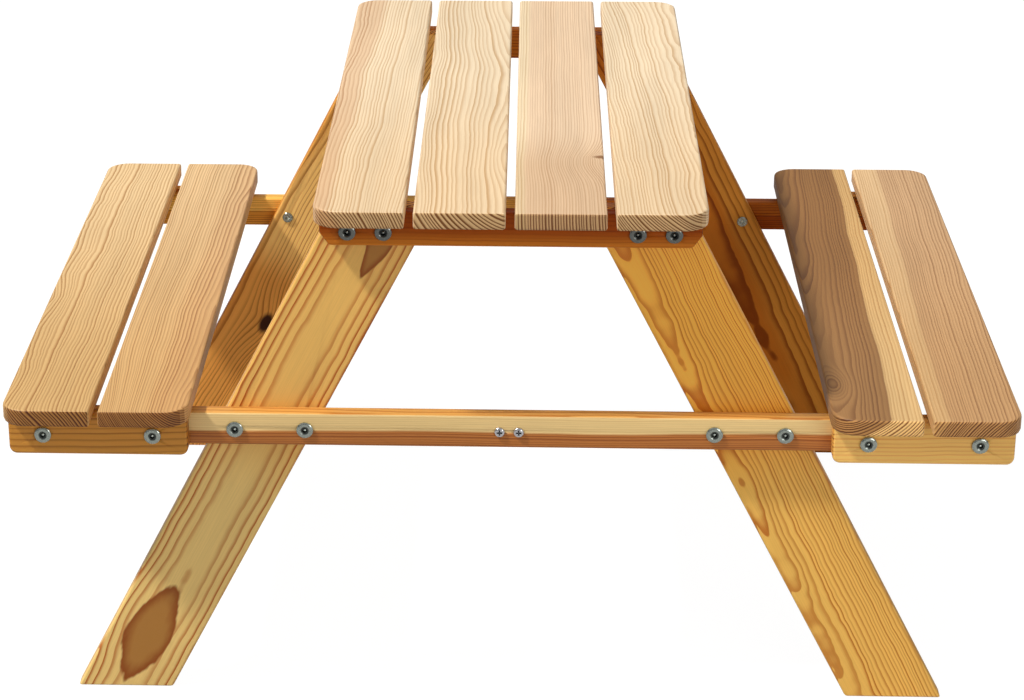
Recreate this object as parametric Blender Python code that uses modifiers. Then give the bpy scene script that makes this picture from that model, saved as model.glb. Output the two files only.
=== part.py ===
"""Child's picnic table with two attached benches, an A-frame of planed pine boards.

Metres, +Z up, the origin on the floor under the middle of the table.
The slats run along Y. The frames that carry them lie along X, one in front and one behind.
"""
import math

import bmesh
import bpy
from mathutils import Matrix, Vector

# Heights and reaches of the whole table
TABLE_HEIGHT = 0.570
SEAT_HEIGHT = 0.354
TABLE_LENGTH = 0.750
BENCH_LENGTH = 0.750
BENCH_REACH = 0.512  # middle plane to a bench's outer edge
FOOT_INSET = 0.052  # bench's outer edge to the outer corner of a foot, along X
FRAME_INSET = 0.067  # end of the tabletop to the outer face of a leg, along Y

# Slats of the tabletop and the benches
SLAT_WIDTH = 0.090
SLAT_THICKNESS = 0.018
TABLE_SLAT_COUNT = 4
TABLE_SLAT_GAP = 0.009
BENCH_SLAT_GAP = 0.009
CORNER_RADIUS = 0.025
EDGE_EASE = 0.0026

# Legs
LEG_WIDTH = 0.090
LEG_THICKNESS = 0.018
LEG_TOP_INSET = 0.0147  # bearer's end to the leg's outer top corner

# Bearers under the tabletop
BEARER_HEIGHT = 0.036
BEARER_THICKNESS = 0.018
BEARER_END_INSET = 0.0035  # tabletop's side edge to the bearer's end
BEARER_CHAMFER_WIDTH = 0.0095
BEARER_CHAMFER_HEIGHT = 0.0135

# Cross rails between the benches
RAIL_HEIGHT = 0.036
RAIL_THICKNESS = 0.018
RAIL_DROP = 0.004  # bench slats' underside to the rail's top
RAIL_END_INSET = 0.006  # cleat's outer end to the rail's end

# Cleats under the bench slats
CLEAT_HEIGHT = 0.044
CLEAT_THICKNESS = 0.018
CLEAT_OUTER_INSET = 0.002
CLEAT_INNER_INSET = 0.004
CLEAT_CORNER_RADIUS = 0.008

# Connector bolts, each drawn tight into its sleeve nut
BOLT_HEAD_RADIUS = 0.0085
BOLT_HEAD_THICKNESS = 0.0026
BOLT_HEAD_BEVEL = 0.0009
BOLT_SHANK_RADIUS = 0.003
SOCKET_ACROSS_FLATS = 0.005
SOCKET_DEPTH = 0.0018
NUT_FLANGE_RADIUS = 0.0065
NUT_FLANGE_THICKNESS = 0.0016
NUT_SLEEVE_RADIUS = 0.0043
NUT_SLEEVE_LENGTH = 0.014
RAIL_BOLT_OUTER_EDGE = 0.0175  # leg's outer edge to the outer bolt, level
RAIL_BOLT_INNER_EDGE = 0.012  # leg's inner edge to the inner bolt, level
BEARER_BOLT_EDGE = 0.024
BEARER_BOLT_SPACING = 0.036
BEARER_BOLT_DROP = 0.003  # bearer's middle to its bolts
CLEAT_BOLT_END = 0.0355  # cleat's end to its bolt

# Wood screws that hold the slats from below
SCREW_LENGTH = 0.045
SCREW_BITE = 0.011  # how far a screw goes into its slat
SCREW_HEAD_RADIUS = 0.0038
SCREW_HEAD_THICKNESS = 0.0018
SCREW_SHANK_RADIUS = 0.002
SCREW_TIP_LENGTH = 0.005
BENCH_SCREW_SPREAD = 0.025  # slat's centre line to each of its two screws

# The pair of pan-head screws in the middle of the front rail
CENTRE_SCREW_SPACING = 0.0195
CENTRE_SCREW_HEAD_RADIUS = 0.0055
CENTRE_SCREW_HEAD_THICKNESS = 0.0026
CENTRE_SCREW_CROWN = ((0.5, 1.0), (0.85, 0.75), (1.0, 0.3))  # shares of radius and thickness
CENTRE_SCREW_LENGTH = 0.014
CROSS_SLOT_LENGTH = 0.0062
CROSS_SLOT_WIDTH = 0.0016
CROSS_SLOT_DEPTH = 0.0015

# Clearances and facets
FIT_GAP = 0.0003
CORNER_SEGMENTS = 6
EASE_SEGMENTS = 2
EASE_ANGLE = math.radians(40)
ROUND_STEPS = 12
MERGE_DISTANCE = 0.00001
PARALLEL = 0.99  # cosine above which an edge counts as lying along an axis

# Places that follow from the sizes above
foot_reach = BENCH_REACH - FOOT_INSET
frame_reach = TABLE_LENGTH / 2 - FRAME_INSET
table_width = TABLE_SLAT_COUNT * SLAT_WIDTH + (TABLE_SLAT_COUNT - 1) * TABLE_SLAT_GAP
table_underside = TABLE_HEIGHT - SLAT_THICKNESS
seat_underside = SEAT_HEIGHT - SLAT_THICKNESS
bench_inner_edge = BENCH_REACH - 2 * SLAT_WIDTH - BENCH_SLAT_GAP
leg_height = table_underside - FIT_GAP
bearer_half_length = table_width / 2 - BEARER_END_INSET
leg_slope = (foot_reach - bearer_half_length + LEG_TOP_INSET) / leg_height
leg_level_width = LEG_WIDTH * math.hypot(1, leg_slope)
bearer_centre_z = table_underside - FIT_GAP - BEARER_HEIGHT / 2
bearer_centre_y = frame_reach + FIT_GAP + BEARER_THICKNESS / 2
bearer_outer_y = frame_reach + FIT_GAP + BEARER_THICKNESS
rail_centre_z = seat_underside - RAIL_DROP - RAIL_HEIGHT / 2
rail_centre_y = frame_reach + FIT_GAP + RAIL_THICKNESS / 2
rail_outer_y = frame_reach + FIT_GAP + RAIL_THICKNESS
rail_half_length = BENCH_REACH - CLEAT_OUTER_INSET - RAIL_END_INSET
cleat_inner_end = bench_inner_edge + CLEAT_INNER_INSET
cleat_outer_end = BENCH_REACH - CLEAT_OUTER_INSET
cleat_centre_z = seat_underside - FIT_GAP - CLEAT_HEIGHT / 2
cleat_centre_y = rail_outer_y + FIT_GAP + CLEAT_THICKNESS / 2
cleat_outer_y = rail_outer_y + FIT_GAP + CLEAT_THICKNESS
leg_inner_y = frame_reach - LEG_THICKNESS
rail_inner_y = frame_reach + FIT_GAP
bearer_bolt_z = bearer_centre_z - BEARER_BOLT_DROP

SIDES = {"left": -1, "right": 1}
ENDS = {"front": -1, "rear": 1}

# Colours of the woods and metals, linear RGB
CREAM_PINE = (0.72, 0.52, 0.29, 1)
HONEY_PINE = (0.60, 0.37, 0.15, 1)
ORANGE_PINE = (0.55, 0.27, 0.07, 1)
BROWN_PINE = (0.34, 0.15, 0.05, 1)
ZINC_GREY = (0.42, 0.43, 0.40, 1)
BRIGHT_STEEL = (0.70, 0.69, 0.67, 1)


def clear_scene():
    """Removes what the file already holds."""
    for item in list(bpy.data.objects):
        bpy.data.objects.remove(item, do_unlink=True)


def new_collection(name):
    """A collection of that name, linked to the scene."""
    collection = bpy.data.collections.new(name)
    bpy.context.scene.collection.children.link(collection)
    return collection


def new_material(name, colour, roughness, metallic=0.0):
    """A Principled material of one colour."""
    material = bpy.data.materials.new(name)
    material.use_nodes = True
    shader = material.node_tree.nodes["Principled BSDF"]
    shader.inputs["Base Color"].default_value = colour
    shader.inputs["Roughness"].default_value = roughness
    shader.inputs["Metallic"].default_value = metallic
    return material


def new_object(name, mesh, location, collection, material=None):
    """A board under the table's root empty or, with no material, a cutter."""
    item = bpy.data.objects.new(name, mesh)
    item.location = location
    collection.objects.link(item)
    if material is None:
        item.display_type = "WIRE"
        item.hide_render = True
    else:
        mesh.materials.append(material)
        item.parent = root
    return item


def box_mesh(size):
    """A bmesh box of that size, centred on its own origin."""
    shape = bmesh.new()
    bmesh.ops.create_cube(shape, size=1.0, matrix=Matrix.Diagonal((*size, 1)))
    return shape


def round_edges(shape, edges, radius):
    """Rounds the given edges to a radius."""
    bmesh.ops.bevel(shape, geom=edges, offset=radius, segments=CORNER_SEGMENTS,
                    profile=0.5, affect="EDGES")


def cut_off(shape, point, normal):
    """Saws off what lies beyond a plane and closes the cut."""
    everything = shape.verts[:] + shape.edges[:] + shape.faces[:]
    result = bmesh.ops.bisect_plane(shape, geom=everything, plane_co=point, plane_no=normal,
                                    clear_outer=True)
    rim = [part for part in result["geom_cut"] if isinstance(part, bmesh.types.BMEdge)]
    bmesh.ops.contextual_create(shape, geom=rim)


def edges_along(shape, axis, keep):
    """The edges along one axis whose middle passes a test."""
    found = []
    for edge in shape.edges:
        direction = (edge.verts[1].co - edge.verts[0].co).normalized()
        middle = (edge.verts[1].co + edge.verts[0].co) / 2
        if abs(direction[axis]) > PARALLEL and keep(middle):
            found.append(edge)
    return found


def finish_board(name, shape, location, material):
    """Turns a bmesh into a board with eased edges."""
    bmesh.ops.recalc_face_normals(shape, faces=shape.faces[:])
    mesh = bpy.data.meshes.new(name)
    shape.to_mesh(mesh)
    shape.free()
    board = new_object(name, mesh, location, parts, material)
    ease = board.modifiers.new("eased_edges", "BEVEL")
    ease.width = EDGE_EASE
    ease.segments = EASE_SEGMENTS
    ease.limit_method = "ANGLE"
    ease.angle_limit = EASE_ANGLE
    return board


def drill(board, holes):
    """Cuts round holes, each given as centre of its mouth, direction inwards, radius and depth."""
    shape = bmesh.new()
    for mouth, direction, radius, depth in holes:
        direction = Vector(direction)
        start = Vector(mouth) - direction * FIT_GAP
        length = depth + FIT_GAP
        turn = Vector((0, 0, 1)).rotation_difference(direction).to_matrix().to_4x4()
        place = Matrix.Translation(start + direction * length / 2) @ turn
        bmesh.ops.create_cone(shape, cap_ends=True, segments=ROUND_STEPS, radius1=radius,
                              radius2=radius, depth=length, matrix=place)
    mesh = bpy.data.meshes.new(board.name + "_drill")
    shape.to_mesh(mesh)
    shape.free()
    cutter = new_object(mesh.name, mesh, (0, 0, 0), cutters)
    bore = board.modifiers.new("holes", "BOOLEAN")
    bore.operation = "DIFFERENCE"
    bore.solver = "EXACT"
    bore.object = cutter


def turned(name, profile):
    """A solid turned about Z from a profile that runs from its top to its bottom."""
    mesh = bpy.data.meshes.new(name)
    links = [(i, i + 1) for i in range(len(profile) - 1)]
    mesh.from_pydata([(radius, 0, height) for radius, height in profile], links, [])
    item = bpy.data.objects.new(name, mesh)
    cutters.objects.link(item)
    turn = item.modifiers.new("turned", "SCREW")
    turn.steps = ROUND_STEPS
    turn.render_steps = ROUND_STEPS
    turn.use_merge_vertices = True
    turn.merge_threshold = MERGE_DISTANCE
    return item


def recess(item, shape):
    """Cuts a driver recess, given as a bmesh, into a turned solid."""
    mesh = bpy.data.meshes.new(item.name + "_recess")
    shape.to_mesh(mesh)
    shape.free()
    cutter = new_object(mesh.name, mesh, (0, 0, 0), cutters)
    cut = item.modifiers.new("recess", "BOOLEAN")
    cut.operation = "DIFFERENCE"
    cut.solver = "EXACT"
    cut.object = cutter


def finished_mesh(item, material):
    """The mesh of a turned solid with its recesses cut; the pattern is then removed."""
    bpy.context.view_layer.update()
    evaluated = item.evaluated_get(bpy.context.evaluated_depsgraph_get())
    mesh = bpy.data.meshes.new_from_object(evaluated)
    mesh.materials.clear()
    mesh.materials.append(material)
    mesh.shade_smooth()
    mesh.set_sharp_from_angle(angle=EASE_ANGLE)
    for change in item.modifiers:
        if change.type == "BOOLEAN":
            bpy.data.objects.remove(change.object, do_unlink=True)
    bpy.data.objects.remove(item, do_unlink=True)
    return mesh


def place_fastener(name, mesh, seat, outward):
    """One fastener with its head's underside just off its seat, its head facing outwards."""
    outward = Vector(outward)
    item = bpy.data.objects.new(name, mesh)
    item.location = Vector(seat) + outward * FIT_GAP
    item.rotation_euler = Vector((0, 0, 1)).rotation_difference(outward).to_euler()
    item.parent = root
    parts.objects.link(item)


def connector_mesh(outer_board, inner_board):
    """A bolt in its nut: the head's underside on Z = 0, the nut's flange beyond both boards."""
    rim = BOLT_HEAD_RADIUS - BOLT_HEAD_BEVEL
    grip = outer_board + inner_board + 3 * FIT_GAP
    sleeve_end = NUT_SLEEVE_LENGTH - grip
    flange_rim = NUT_FLANGE_RADIUS - NUT_FLANGE_THICKNESS / 2
    profile = [(0, BOLT_HEAD_THICKNESS),
               (rim, BOLT_HEAD_THICKNESS),
               (BOLT_HEAD_RADIUS, BOLT_HEAD_THICKNESS - BOLT_HEAD_BEVEL),
               (BOLT_HEAD_RADIUS, 0),
               (BOLT_SHANK_RADIUS, 0),
               (BOLT_SHANK_RADIUS, sleeve_end),
               (NUT_SLEEVE_RADIUS, sleeve_end),
               (NUT_SLEEVE_RADIUS, -grip),
               (NUT_FLANGE_RADIUS, -grip),
               (NUT_FLANGE_RADIUS, -grip - NUT_FLANGE_THICKNESS / 2),
               (flange_rim, -grip - NUT_FLANGE_THICKNESS),
               (0, -grip - NUT_FLANGE_THICKNESS)]
    item = turned("connector", profile)
    corner_radius = SOCKET_ACROSS_FLATS / math.sqrt(3)
    socket = bmesh.new()
    bmesh.ops.create_cone(socket, cap_ends=True, segments=6, radius1=corner_radius,
                          radius2=corner_radius, depth=2 * SOCKET_DEPTH,
                          matrix=Matrix.Translation((0, 0, BOLT_HEAD_THICKNESS)))
    recess(item, socket)
    return finished_mesh(item, metal["zinc"])


def slat_screw_mesh():
    """A wood screw, its head's underside on Z = 0 and its shank below."""
    profile = [(0, SCREW_HEAD_THICKNESS),
               (SCREW_HEAD_RADIUS / 2, SCREW_HEAD_THICKNESS),
               (SCREW_HEAD_RADIUS, 0),
               (SCREW_SHANK_RADIUS, 0),
               (SCREW_SHANK_RADIUS, SCREW_TIP_LENGTH - SCREW_LENGTH),
               (0, -SCREW_LENGTH)]
    return finished_mesh(turned("slat_screw", profile), metal["steel"])


def centre_screw_mesh():
    """A pan-head screw with a cross recess, its head's underside on Z = 0."""
    crown = CENTRE_SCREW_HEAD_THICKNESS
    profile = [(0, crown)]
    profile += [(across * CENTRE_SCREW_HEAD_RADIUS, up * crown)
                for across, up in CENTRE_SCREW_CROWN]
    profile += [(CENTRE_SCREW_HEAD_RADIUS, 0),
                (SCREW_SHANK_RADIUS, 0),
                (SCREW_SHANK_RADIUS, SCREW_TIP_LENGTH - CENTRE_SCREW_LENGTH),
                (0, -CENTRE_SCREW_LENGTH)]
    item = turned("centre_screw", profile)
    for size in ((CROSS_SLOT_LENGTH, CROSS_SLOT_WIDTH), (CROSS_SLOT_WIDTH, CROSS_SLOT_LENGTH)):
        slot = bmesh.new()
        bmesh.ops.create_cube(slot, size=1.0, matrix=Matrix.Translation((0, 0, crown))
                              @ Matrix.Diagonal((*size, 2 * CROSS_SLOT_DEPTH, 1)))
        recess(item, slot)
    return finished_mesh(item, metal["steel"])


def leg_outer_x(height):
    """Middle plane to a leg's outer edge at a height."""
    return foot_reach - leg_slope * height


def rail_bolt_xs():
    """Distances from the middle plane of the bolts through a leg and its rail."""
    edge = leg_outer_x(rail_centre_z)
    return {"outer": edge - RAIL_BOLT_OUTER_EDGE,
            "inner": edge - leg_level_width + RAIL_BOLT_INNER_EDGE}


def bearer_bolt_xs():
    """Distances from the middle plane of the bolts through a leg and its bearer."""
    outer = leg_outer_x(bearer_bolt_z) - BEARER_BOLT_EDGE
    return {"outer": outer, "inner": outer - BEARER_BOLT_SPACING}


def cleat_bolt_xs():
    """Distances from the middle plane of the bolts through a cleat and its rail."""
    return {"outer": cleat_outer_end - CLEAT_BOLT_END,
            "inner": cleat_inner_end + CLEAT_BOLT_END}


def table_slat_xs():
    """Centre lines of the tabletop slats, from left to right."""
    first = (SLAT_WIDTH - table_width) / 2
    return [first + i * (SLAT_WIDTH + TABLE_SLAT_GAP) for i in range(TABLE_SLAT_COUNT)]


def bench_slat_xs():
    """Distances from the middle plane of a bench's inner and outer slat."""
    inner = bench_inner_edge + SLAT_WIDTH / 2
    return {"inner": inner, "outer": inner + SLAT_WIDTH + BENCH_SLAT_GAP}


def bench_screw_xs(centre):
    """Places of a bench slat's two screws over one cleat."""
    return (centre - BENCH_SCREW_SPREAD, centre + BENCH_SCREW_SPREAD)


def slat_pilot_hole(x, y, underside):
    """A blind hole for a screw's tip, drilled up into a slat."""
    return ((x, y, underside), (0, 0, 1), SCREW_SHANK_RADIUS + FIT_GAP, SCREW_BITE + FIT_GAP)


def screw_passage(x, y, top, height):
    """The counterbored hole up through a bearer or a cleat."""
    bottom = top - height
    sink = screw_sink(height)
    counterbore = ((x, y, bottom), (0, 0, 1), SCREW_HEAD_RADIUS + FIT_GAP, sink)
    mouth = (x, y, bottom + sink / 2)
    passage = (mouth, (0, 0, 1), SCREW_SHANK_RADIUS + FIT_GAP, height)
    return (counterbore, passage)


def screw_sink(height):
    """How deep a slat screw's seat lies in a member of that height."""
    return height + FIT_GAP + SCREW_BITE - SCREW_LENGTH


def make_slat(name, centre_x, top, length, round_sides, screw_places, material):
    """A slat along Y with rounded plan corners on the named sides, -1 or 1."""
    shape = box_mesh((SLAT_WIDTH, length, SLAT_THICKNESS))
    if round_sides:
        corners = edges_along(shape, 2, lambda middle: math.copysign(1, middle.x) in round_sides)
        round_edges(shape, corners, CORNER_RADIUS)
    centre_z = top - SLAT_THICKNESS / 2
    slat = finish_board(name, shape, (centre_x, 0, centre_z), material)
    underside = top - SLAT_THICKNESS
    drill(slat, [slat_pilot_hole(x, y, underside) for x, y in screw_places])
    return slat


def make_tabletop():
    """The slats of the tabletop, numbered from the left."""
    for number, centre in enumerate(table_slat_xs(), start=1):
        round_sides = {1: (-1,), TABLE_SLAT_COUNT: (1,)}.get(number, ())
        screws = [(centre, end * bearer_centre_y) for end in ENDS.values()]
        make_slat(f"tabletop_slat_{number}", centre, TABLE_HEIGHT, TABLE_LENGTH,
                  round_sides, screws, wood["cream"])


def make_benches():
    """Two slats for each bench."""
    for side_name, side in SIDES.items():
        for place, distance in bench_slat_xs().items():
            round_side = side if place == "outer" else -side
            screws = [(side * x, end * cleat_centre_y) for x in bench_screw_xs(distance)
                      for end in ENDS.values()]
            make_slat(f"bench_slat_{side_name}_{place}", side * distance, SEAT_HEIGHT,
                      BENCH_LENGTH, (round_side,), screws, wood["honey"])


def make_legs():
    """Four slanted legs, cut level at the floor and under the tabletop."""
    for end_name, end in ENDS.items():
        for side_name, side in SIDES.items():
            name = f"leg_{end_name}_{side_name}"
            shape = box_mesh((leg_level_width, LEG_THICKNESS, leg_height))
            slant = Matrix.Identity(4)
            slant[0][2] = -side * leg_slope
            bmesh.ops.transform(shape, matrix=slant, verts=shape.verts[:])
            middle_x = leg_outer_x(leg_height / 2) - leg_level_width / 2
            middle_y = end * (frame_reach - LEG_THICKNESS / 2)
            tone = "orange" if side_name == "right" else "honey"
            leg = finish_board(name, shape, (side * middle_x, middle_y, leg_height / 2), wood[tone])
            places = [(x, rail_centre_z) for x in rail_bolt_xs().values()]
            places += [(x, bearer_bolt_z) for x in bearer_bolt_xs().values()]
            drill(leg, [nut_hole(side * x, end, leg_inner_y, z, LEG_THICKNESS) for x, z in places])


def nut_hole(x, end, inner_y, z, thickness):
    """The hole for a nut's sleeve, through a board from its inner face."""
    radius = NUT_SLEEVE_RADIUS + FIT_GAP
    return ((x, end * inner_y, z), (0, end, 0), radius, thickness + FIT_GAP)


def shank_hole(x, end, outer_y, z, thickness):
    """The hole for a bolt's shank, through a board from its outer face."""
    radius = BOLT_SHANK_RADIUS + FIT_GAP
    return ((x, end * outer_y, z), (0, -end, 0), radius, thickness + FIT_GAP)


def make_bearers():
    """The two battens that carry the tabletop, their lower end corners sawn off."""
    for end_name, end in ENDS.items():
        name = f"tabletop_bearer_{end_name}"
        shape = box_mesh((2 * bearer_half_length, BEARER_THICKNESS, BEARER_HEIGHT))
        for side in SIDES.values():
            corner = Vector((side * bearer_half_length, 0,
                             BEARER_CHAMFER_HEIGHT - BEARER_HEIGHT / 2))
            cut_off(shape, corner, (side * BEARER_CHAMFER_HEIGHT, 0, -BEARER_CHAMFER_WIDTH))
        centre = (0, end * bearer_centre_y, bearer_centre_z)
        bearer = finish_board(name, shape, centre, wood["brown"])
        holes = [shank_hole(side * x, end, bearer_outer_y, bearer_bolt_z, BEARER_THICKNESS)
                 for x in bearer_bolt_xs().values() for side in SIDES.values()]
        for x in table_slat_xs():
            holes += screw_passage(x, end * bearer_centre_y, table_underside - FIT_GAP,
                                   BEARER_HEIGHT)
        drill(bearer, holes)


def make_rails():
    """The two rails that run from bench to bench across the legs."""
    for end_name, end in ENDS.items():
        name = f"cross_rail_{end_name}"
        shape = box_mesh((2 * rail_half_length, RAIL_THICKNESS, RAIL_HEIGHT))
        centre = (0, end * rail_centre_y, rail_centre_z)
        rail = finish_board(name, shape, centre, wood["honey"])
        holes = []
        for side in SIDES.values():
            holes += [shank_hole(side * x, end, rail_outer_y, rail_centre_z, RAIL_THICKNESS)
                      for x in rail_bolt_xs().values()]
            holes += [nut_hole(side * x, end, rail_inner_y, rail_centre_z, RAIL_THICKNESS)
                      for x in cleat_bolt_xs().values()]
            if end_name == "front":
                holes.append(centre_screw_hole(side, end))
        drill(rail, holes)


def centre_screw_hole(side, end):
    """A blind hole for one of the two screws in the middle of a rail."""
    x = side * CENTRE_SCREW_SPACING / 2
    radius = SCREW_SHANK_RADIUS + FIT_GAP
    mouth = (x, end * rail_outer_y, rail_centre_z)
    return (mouth, (0, -end, 0), radius, CENTRE_SCREW_LENGTH + FIT_GAP)


def make_cleats():
    """The cleats bolted to the rails' outer faces, under the bench slats."""
    length = cleat_outer_end - cleat_inner_end
    for end_name, end in ENDS.items():
        for side_name, side in SIDES.items():
            name = f"bench_cleat_{end_name}_{side_name}"
            shape = box_mesh((length, CLEAT_THICKNESS, CLEAT_HEIGHT))
            corners = edges_along(shape, 1, lambda middle: middle.z < 0)
            round_edges(shape, corners, CLEAT_CORNER_RADIUS)
            centre_x = side * (cleat_inner_end + cleat_outer_end) / 2
            centre = (centre_x, end * cleat_centre_y, cleat_centre_z)
            cleat = finish_board(name, shape, centre, wood["honey"])
            holes = []
            for slat_centre in bench_slat_xs().values():
                for x in bench_screw_xs(slat_centre):
                    holes += screw_passage(side * x, end * cleat_centre_y,
                                           seat_underside - FIT_GAP, CLEAT_HEIGHT)
            holes += [shank_hole(side * x, end, cleat_outer_y, rail_centre_z, CLEAT_THICKNESS)
                      for x in cleat_bolt_xs().values()]
            drill(cleat, holes)


def make_bolted_joints():
    """Connector bolts where legs, bearers, rails and cleats cross."""
    joints = {
        "bearer_bolt": (bearer_bolt_xs(), bearer_bolt_z, bearer_outer_y,
                        connector_mesh(BEARER_THICKNESS, LEG_THICKNESS)),
        "rail_bolt": (rail_bolt_xs(), rail_centre_z, rail_outer_y,
                      connector_mesh(RAIL_THICKNESS, LEG_THICKNESS)),
        "cleat_bolt": (cleat_bolt_xs(), rail_centre_z, cleat_outer_y,
                       connector_mesh(CLEAT_THICKNESS, RAIL_THICKNESS)),
    }
    for joint, (distances, z, outer_y, mesh) in joints.items():
        for end_name, end in ENDS.items():
            for side_name, side in SIDES.items():
                for place, x in distances.items():
                    name = f"{joint}_{end_name}_{side_name}_{place}"
                    place_fastener(name, mesh, (side * x, end * outer_y, z), (0, end, 0))


def make_slat_screws():
    """The screws that hold the tabletop's slats, driven up through the bearers."""
    mesh = slat_screw_mesh()
    bearer_bottom = table_underside - FIT_GAP - BEARER_HEIGHT
    seat = bearer_bottom + screw_sink(BEARER_HEIGHT)
    for end_name, end in ENDS.items():
        for number, x in enumerate(table_slat_xs(), start=1):
            name = f"slat_screw_{end_name}_{number}"
            place_fastener(name, mesh, (x, end * bearer_centre_y, seat), (0, 0, -1))


def make_centre_screws():
    """The two pan-head screws side by side in the middle of the front rail."""
    mesh = centre_screw_mesh()
    end = ENDS["front"]
    for side_name, side in SIDES.items():
        seat = (side * CENTRE_SCREW_SPACING / 2, end * rail_outer_y, rail_centre_z)
        place_fastener(f"rail_centre_screw_{side_name}", mesh, seat, (0, end, 0))


clear_scene()
parts = new_collection("kids_bench_with_table")
cutters = new_collection("cutters")
root = bpy.data.objects.new("table_root", None)
parts.objects.link(root)
wood = {
    "cream": new_material("cream_pine", CREAM_PINE, 0.62),
    "honey": new_material("honey_pine", HONEY_PINE, 0.48),
    "orange": new_material("orange_pine", ORANGE_PINE, 0.45),
    "brown": new_material("brown_pine", BROWN_PINE, 0.45),
}
metal = {
    "zinc": new_material("zinc_plate", ZINC_GREY, 0.35, metallic=1.0),
    "steel": new_material("bright_steel", BRIGHT_STEEL, 0.30, metallic=1.0),
}
make_tabletop()
make_benches()
make_legs()
make_bearers()
make_rails()
make_cleats()
make_bolted_joints()
make_slat_screws()
make_centre_screws()
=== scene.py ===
"""Looks of a child's picnic table with two attached benches, in oiled and brushed pine."""
import math

import bpy
from mathutils import Matrix, Vector


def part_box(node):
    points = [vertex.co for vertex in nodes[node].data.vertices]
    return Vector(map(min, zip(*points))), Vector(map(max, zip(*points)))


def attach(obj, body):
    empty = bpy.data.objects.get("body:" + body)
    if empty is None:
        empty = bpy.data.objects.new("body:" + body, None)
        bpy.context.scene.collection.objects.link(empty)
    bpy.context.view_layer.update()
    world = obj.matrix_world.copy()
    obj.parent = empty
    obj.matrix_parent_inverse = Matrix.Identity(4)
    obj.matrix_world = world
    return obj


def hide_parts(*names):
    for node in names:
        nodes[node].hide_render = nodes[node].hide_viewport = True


MM = 0.001

# Camera, in metres and degrees
CAMERA_PLACE = (0.01909, -2.79251, 1.47229)
CAMERA_YAW = -2.03
CAMERA_PITCH = 20.89
CAMERA_ROLL = -0.19
CAMERA_LENS = 93.70
CAMERA_SHIFT = (0.0689, -0.1142)

# Connector bolts: a head with a hexagon socket, a shank and the sleeve nut it is drawn into
HEAD_THICKNESS = 2.6 * MM
HEAD_RADIUS = 8.5 * MM
FLANGE_THICKNESS = 1.6 * MM
SLEEVE_LENGTH = 14 * MM

# Light: places in metres, the key's angle in degrees. The sky brightens over SKY_RISE in height.
LIT_POINT = (0, 0, 0.3)
KEY_PLACE = (-1.95, -0.75, 3.3)
KEY_STRENGTH = 2.9
KEY_COLOUR = (1, 0.985, 0.96)
KEY_ANGLE = 5
FILL_PLACE = (1.5, -2.3, 0.9)
FILL_STRENGTH = 10
FILL_COLOUR = (1, 0.98, 0.96)
FILL_SIZE = (0.9, 0.7)
SKY_LOW = 0.16
SKY_HIGH = 0.44
SKY_RISE = (-0.1, 0.7)
FLOOR_SIZE = 40
FLOOR_PLACE = (0, 6, -0.0005)
FLOOR_GREY = 0.45
FLOOR_GLOW = 1.27
FLOOR_GLOW_SHARE = 0.76

# A leg's run over its rise
LEG_LEAN = 0.516

# Corners of a board's mesh this close are joined, so that it shades smoothly over its eased edges
WELD_DISTANCE = 0.01 * MM

# Screws: a slat screw's length, how far it goes into its slat, and the heights of both heads
SCREW_LENGTH = 45 * MM
SCREW_BITE = 11 * MM
SCREW_HEAD = 1.8 * MM
CENTRE_SCREW_HEAD = 2.6 * MM

# A bench slat's centre line to each of its two screws over one cleat
BENCH_SCREW_SPREAD = 25 * MM

# Pine: how often each unevenness changes in a metre, along a board and across it
SWAY_SCALES = (5.0, 9.0)
SHAKE_SCALES = (26.0, 17.0)
FIBRE_SCALES = (14.0, 900.0)
CLOUD_SCALES = (3.0, 22.0)

# Pine's rings: by how many rings their spacing drifts and how quickly, the share of a ring at which
# its dark line is full and at which it starts to fade, and the line's strength in the faintest and
# in the boldest ring. The stride keeps neighbouring rings unlike, and the rows keep the two noises so.
DRIFT = 2.2
DRIFT_RATE = 0.31
DRIFT_ROW = 3.7
LINE_FULL = 0.88
LINE_FADE = 0.93
LINE_STRENGTHS = (0.45, 1.0)
LINE_STRIDE = 7.31
LINE_ROW = 0.5

# Pine's tones: how far fibres and clouds darken and brighten it, and how much bolder and darker
# the lines are on end grain
FIBRE_TONES = (-0.05, 0.04)
CLOUD_TONES = (-0.07, 0.05)
END_LINE_GAIN = 1.2
END_LINES = (0.42, 0.30, 0.20, 1)

# Pine's surface: the normal's part along a board on end grain and upwards on a top edge, the
# lines' own sheen, and the depth of the relief
END_FACING = (0.3, 0.8)
TOP_FACING = (0.5, 0.95)
LINE_SHEEN = 0.1
COAT_ROUGHNESS = 0.3
RELIEF_DEPTH = 0.5 * MM
FIBRE_RELIEF = 0.35

# Knots and patches: where their soft edges and a patch's darker rim lie, as shares of their reach,
# and the outline of a patch, between a diamond's 1 and an ellipse's 2
CORE_EDGE = (0.6, 1.3)
PATCH_RIM = (0.45, 0.98)
PATCH_EDGE = (0.92, 1.06)
PATCH_ROUNDNESS = 1.4
PATCH_EDGE_SCALES = (35, 90, 90)
PATCH_EDGE_JAG = 0.45

# Metal: painted shade darkens a recess within a radius and below a height, with a soft edge in
# shares of that radius, down to the shank. Its raised middle gets a painted highlight from its foot
# to its top. The grain is a fine relief all over.
SOCKET_RECESS = (4.3 * MM, 3.0 * MM)
CROSS_RECESS = (3.2 * MM, 2.4 * MM)
RECESS_EDGE = (0.85, 1.1)
SHADE_END = (-6 * MM, -5 * MM)
RECESS_SHADE = 0.2
RAISED_SHINE = 1.7
RAISED_FOOT = (1.2 * MM, 1.6 * MM)
RAISED_TOP = (1.0 * MM, 1.6 * MM)
SHEEN_RANGE = (-0.06, 0.08)
GRAIN_SCALE = 9000
GRAIN_STRENGTH = 0.03
GRAIN_DEPTH = 0.05 * MM

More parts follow.
